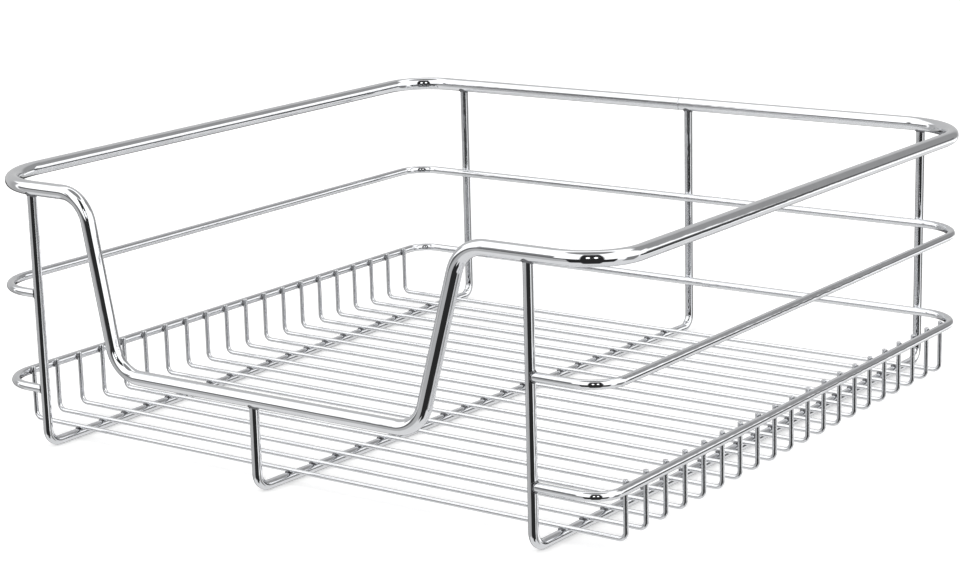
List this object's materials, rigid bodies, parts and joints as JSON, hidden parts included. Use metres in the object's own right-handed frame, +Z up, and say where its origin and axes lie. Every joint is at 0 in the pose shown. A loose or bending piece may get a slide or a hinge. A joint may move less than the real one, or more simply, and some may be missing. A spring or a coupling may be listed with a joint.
{
  "type": "cabinet basket",
  "caption": "Welded chrome wire basket for a kitchen cabinet: closed wire floor, two side rails, and a thick top rail that dips at the front for a hand.",
  "frame": {"origin": "middle of the basket's outline, on the plane that its three frame wires stand on", "axes": "+Z up, +X to the right and +Y to the back, seen from the front, where the top rail dips"},
  "size_m": [0.525, 0.51, 0.189],
  "materials": {
    "rail_chrome": "bright chrome plate on steel",
    "wire_chrome": "bright chrome plate on steel"
  },
  "bodies": {
    "root": {"top_rail": "rail_chrome", "mid_rail": "rail_chrome", "low_rail": "rail_chrome", "left_frame_wire": "wire_chrome", "centre_frame_wire": "wire_chrome", "right_frame_wire": "wire_chrome", "floor_wire_01": "wire_chrome", "floor_wire_02": "wire_chrome", "floor_wire_03": "wire_chrome", "floor_wire_04": "wire_chrome", "floor_wire_05": "wire_chrome", "floor_wire_06": "wire_chrome", "floor_wire_07": "wire_chrome", "floor_wire_08": "wire_chrome", "floor_wire_09": "wire_chrome", "floor_wire_10": "wire_chrome", "floor_wire_11": "wire_chrome", "floor_wire_12": "wire_chrome", "floor_wire_13": "wire_chrome", "floor_wire_14": "wire_chrome", "floor_wire_15": "wire_chrome", "floor_wire_16": "wire_chrome", "floor_wire_17": "wire_chrome", "floor_wire_18": "wire_chrome", "floor_wire_19": "wire_chrome", "floor_wire_20": "wire_chrome"}
  },
  "joints": []
}
